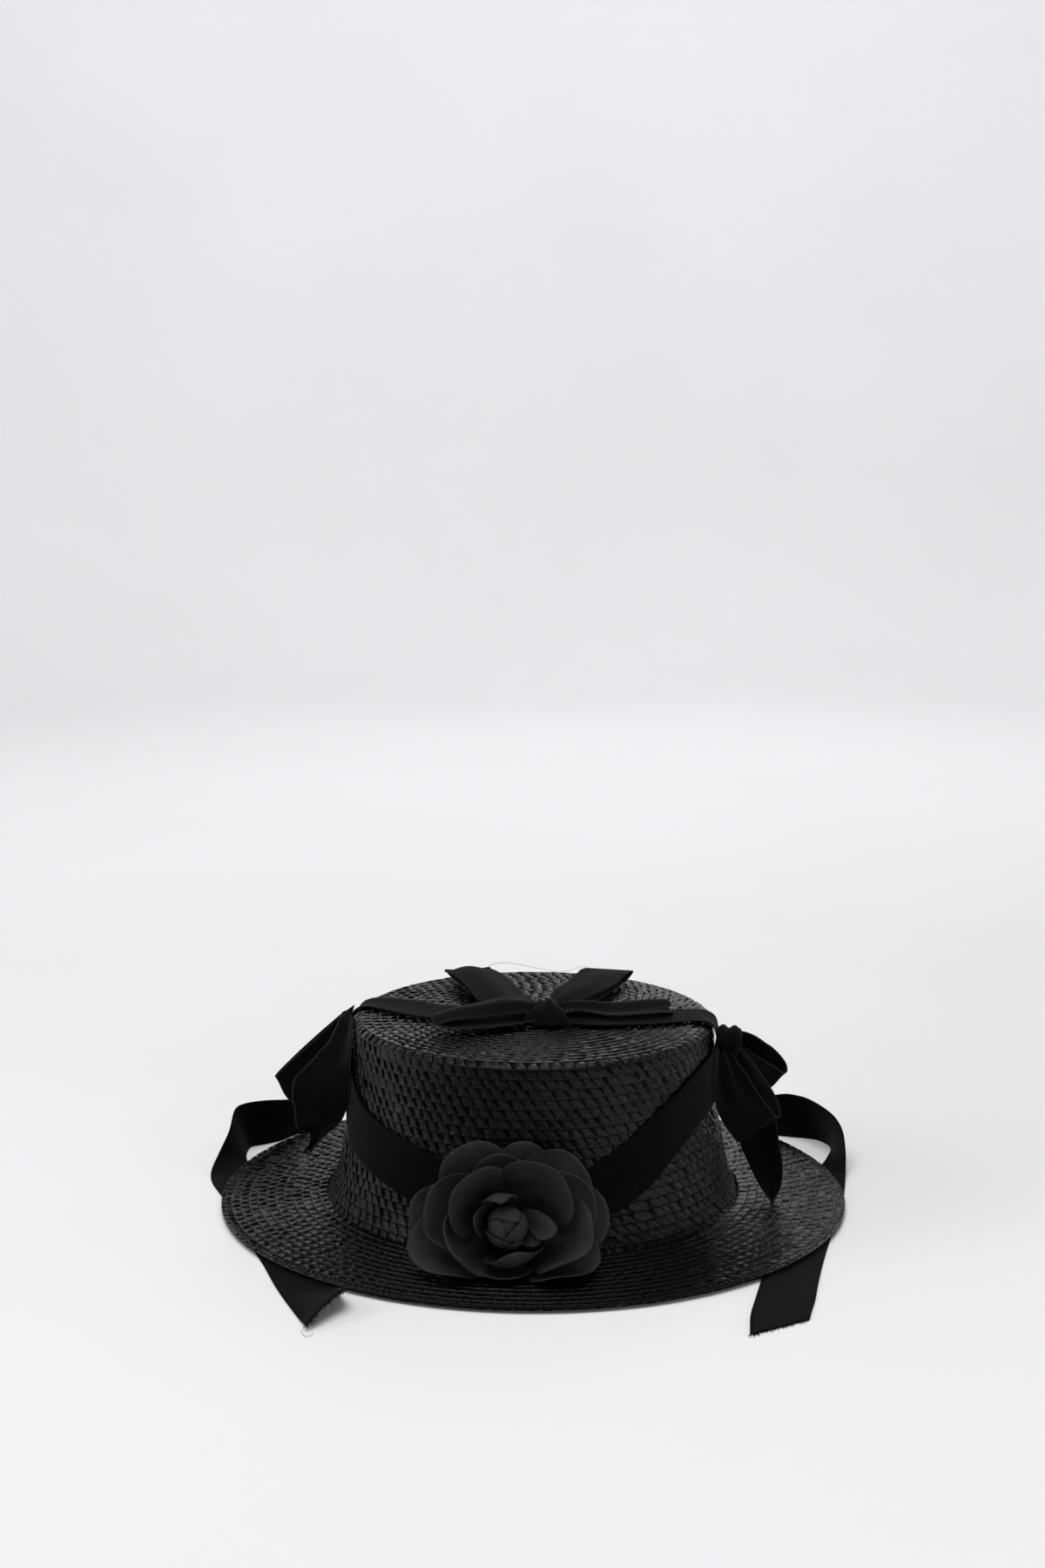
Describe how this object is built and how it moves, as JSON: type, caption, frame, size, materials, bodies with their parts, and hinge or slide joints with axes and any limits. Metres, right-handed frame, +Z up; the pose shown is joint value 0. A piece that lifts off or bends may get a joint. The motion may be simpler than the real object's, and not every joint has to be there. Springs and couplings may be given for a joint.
{
  "type": "boater hat",
  "caption": "Black lacquered straw boater with a flat crown and a stiff brim, trimmed with grosgrain ribbon bows, hanging ties and a cloth camellia.",
  "frame": {"origin": "on the floor under the middle of the bounding box", "axes": "+Z up out of the crown, -Y towards the flower at the front, +X to the right as seen from the front"},
  "size_m": [0.2941, 0.3091, 0.0928],
  "materials": {
    "black_straw": "sewn plant straw braid under black gloss lacquer",
    "black_grosgrain": "matt ribbed ribbon",
    "flower_cloth": "matt fine weave"
  },
  "bodies": {
    "root": {"crown": "black_straw", "brim": "black_straw", "front_band": "black_grosgrain", "cross_band": "black_grosgrain", "top_knot": "black_grosgrain", "top_loop_front_left": "black_grosgrain", "top_loop_front_right": "black_grosgrain", "top_loop_back_left": "black_grosgrain", "top_loop_back_right": "black_grosgrain", "left_knot": "black_grosgrain", "left_loop": "black_grosgrain", "left_tail": "black_grosgrain", "left_tail_low": "black_grosgrain", "right_knot": "black_grosgrain", "right_loop_upper": "black_grosgrain", "right_loop_front": "black_grosgrain", "right_tail": "black_grosgrain", "left_tie": "black_grosgrain", "right_tie": "black_grosgrain", "flower_backing": "flower_cloth", "flower_bud": "flower_cloth", "petal_outer_1": "flower_cloth", "petal_outer_2": "flower_cloth", "petal_outer_3": "flower_cloth", "petal_outer_4": "flower_cloth", "petal_outer_5": "flower_cloth", "petal_outer_6": "flower_cloth", "petal_outer_7": "flower_cloth", "petal_outer_8": "flower_cloth", "petal_middle_1": "flower_cloth", "petal_middle_2": "flower_cloth", "petal_middle_3": "flower_cloth", "petal_cup_1": "flower_cloth", "petal_cup_2": "flower_cloth", "petal_cup_3": "flower_cloth", "petal_cup_4": "flower_cloth", "petal_cup_5": "flower_cloth", "petal_inner_1": "flower_cloth", "petal_inner_2": "flower_cloth", "petal_inner_3": "flower_cloth", "petal_inner_4": "flower_cloth", "petal_inner_5": "flower_cloth"}
  },
  "joints": []
}
